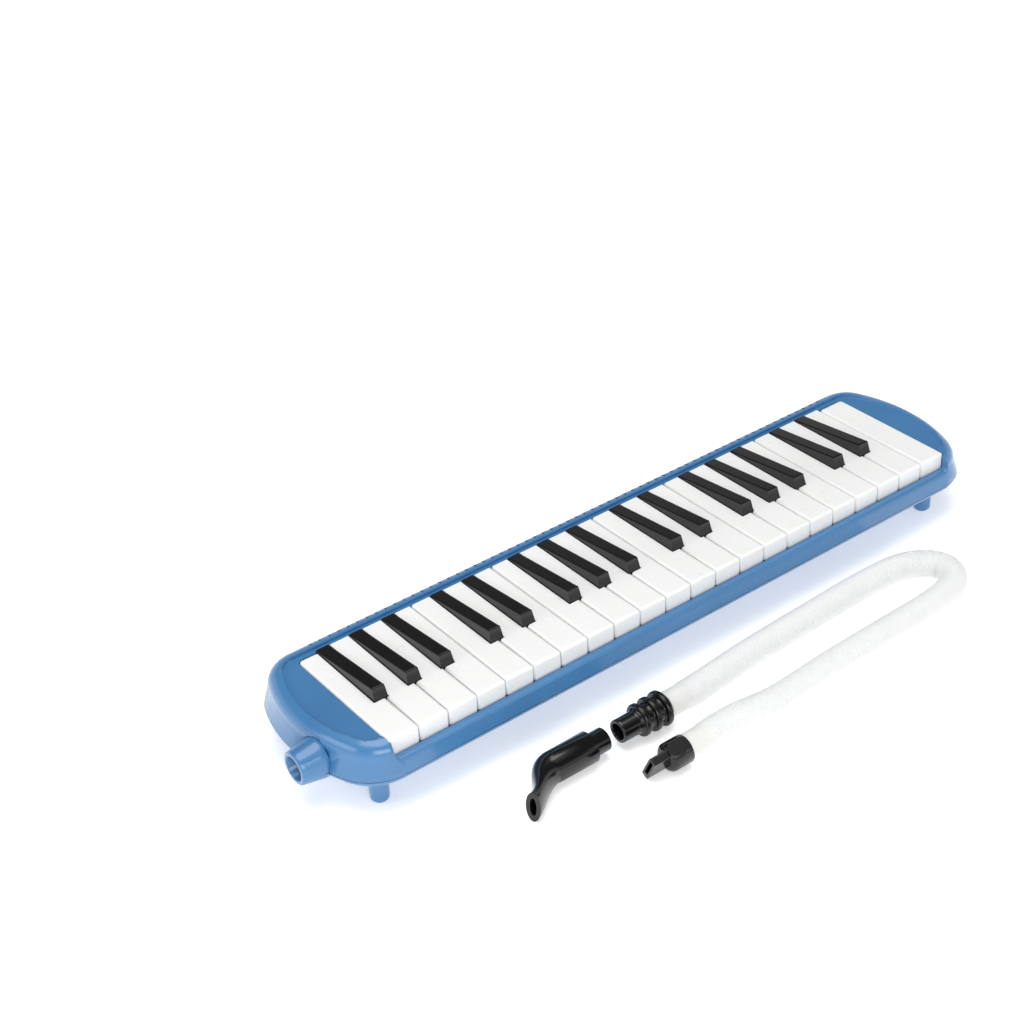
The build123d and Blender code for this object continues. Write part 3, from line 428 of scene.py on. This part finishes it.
def white_floor():
    """Plain pale table, glowing a little so that shadows stay light."""
    s = Shader("table_white")
    tone = s.mix(s.spread(s.noise(3.0, 3.0), 0.0, 1.0), (0.93, 0.93, 0.93), (0.96, 0.96, 0.96))
    s.link(tone, s.principled.inputs["Base Color"])
    s.principled.inputs["Roughness"].default_value = 0.85
    s.principled.inputs["Specular IOR Level"].default_value = 0.2
    s.principled.inputs["Emission Color"].default_value = (1.0, 1.0, 1.0, 1.0)
    s.principled.inputs["Emission Strength"].default_value = 0.38
    mesh = bpy.data.meshes.new("table")
    half = TABLE_HALF_WIDTH
    corners = [(-half, -half), (half, -half), (half, half), (-half, half)]
    mesh.from_pydata([(x, y, floor_z - TABLE_GAP) for x, y in corners], [], [(0, 1, 2, 3)])
    table = bpy.data.objects.new("table", mesh)
    bpy.context.scene.collection.objects.link(table)
    mesh.materials.append(s.material)


def softbox(name, place, target, size, watts):
    """Rectangular studio light aimed at a point."""
    data = bpy.data.lights.new(name, "AREA")
    data.shape = "RECTANGLE"
    data.size, data.size_y = size
    data.energy = watts
    lamp = bpy.data.objects.new(name, data)
    bpy.context.scene.collection.objects.link(lamp)
    lamp.location = place
    lamp.rotation_euler = (Vector(target) - Vector(place)).to_track_quat("-Z", "Y").to_euler()


def studio_world(zenith, middle, horizon):
    """Soft room light: bright overhead and along the walls' foot, darker in between."""
    world = bpy.data.worlds.new("studio")
    bpy.context.scene.world = world
    world.use_nodes = True
    tree = world.node_tree
    where = tree.nodes.new("ShaderNodeTexCoord")
    split = tree.nodes.new("ShaderNodeSeparateXYZ")
    ramp = tree.nodes.new("ShaderNodeValToRGB")
    # How high above the horizon, where 1 is straight up, and how bright it is there.
    stops = ((0.0, horizon), (0.28, horizon), (0.42, middle), (0.74, middle), (0.9, zenith))
    while len(ramp.color_ramp.elements) < len(stops):
        ramp.color_ramp.elements.new(0.5)
    for element, (height, level) in zip(ramp.color_ramp.elements, stops):
        element.position = height
        element.color = (level, level, level, 1.0)
    back = tree.nodes["Background"]
    tree.links.new(where.outputs["Generated"], split.inputs["Vector"])
    tree.links.new(split.outputs["Z"], ramp.inputs["Fac"])
    tree.links.new(ramp.outputs["Color"], back.inputs["Color"])


# The camera looks at AIM from a distance in metres; the angles are in degrees.
AIM = Vector((0.2559, 0.1485, floor_z))
DISTANCE = 1.2314
AZIMUTH, ELEVATION, ROLL = -35.47, 33.62, -3.52
SENSOR_MM, LENS_MM = 36.0, 66.76


def camera():
    """Three-quarter view from the low-note end, from above the player's side."""
    azimuth, elevation, roll = (math.radians(angle) for angle in (AZIMUTH, ELEVATION, ROLL))
    back = Vector(
        (
            math.sin(azimuth) * math.cos(elevation),
            -math.cos(azimuth) * math.cos(elevation),
            math.sin(elevation),
        )
    )
    right = (-back).cross(Vector((0, 0, 1))).normalized()
    up = right.cross(-back)
    turned_right = right * math.cos(roll) + up * math.sin(roll)
    turned_up = up * math.cos(roll) - right * math.sin(roll)
    data = bpy.data.cameras.new("camera")
    data.sensor_width = SENSOR_MM
    data.lens = LENS_MM
    data.clip_end = 50.0
    eye = bpy.data.objects.new("camera", data)
    bpy.context.scene.collection.objects.link(eye)
    turn = Matrix((turned_right, turned_up, back)).transposed()
    eye.matrix_world = Matrix.Translation(AIM + back * DISTANCE) @ turn.to_4x4()
    bpy.context.scene.camera = eye


white_floor()
studio_world(0.8, 0.1, 0.85)
softbox("top_light", (0.2, 0.1, 1.7), (0.25, 0, 0), (1.6, 1.2), 17)
softbox("front_light", (-0.5, -1.5, 0.9), (0.25, 0, 0), (1.2, 0.8), 13)
softbox("left_light", (-1.4, 0.3, 0.8), (0.1, 0, 0), (0.9, 0.7), 5)
camera()
bpy.context.scene.view_settings.view_transform = "Standard"
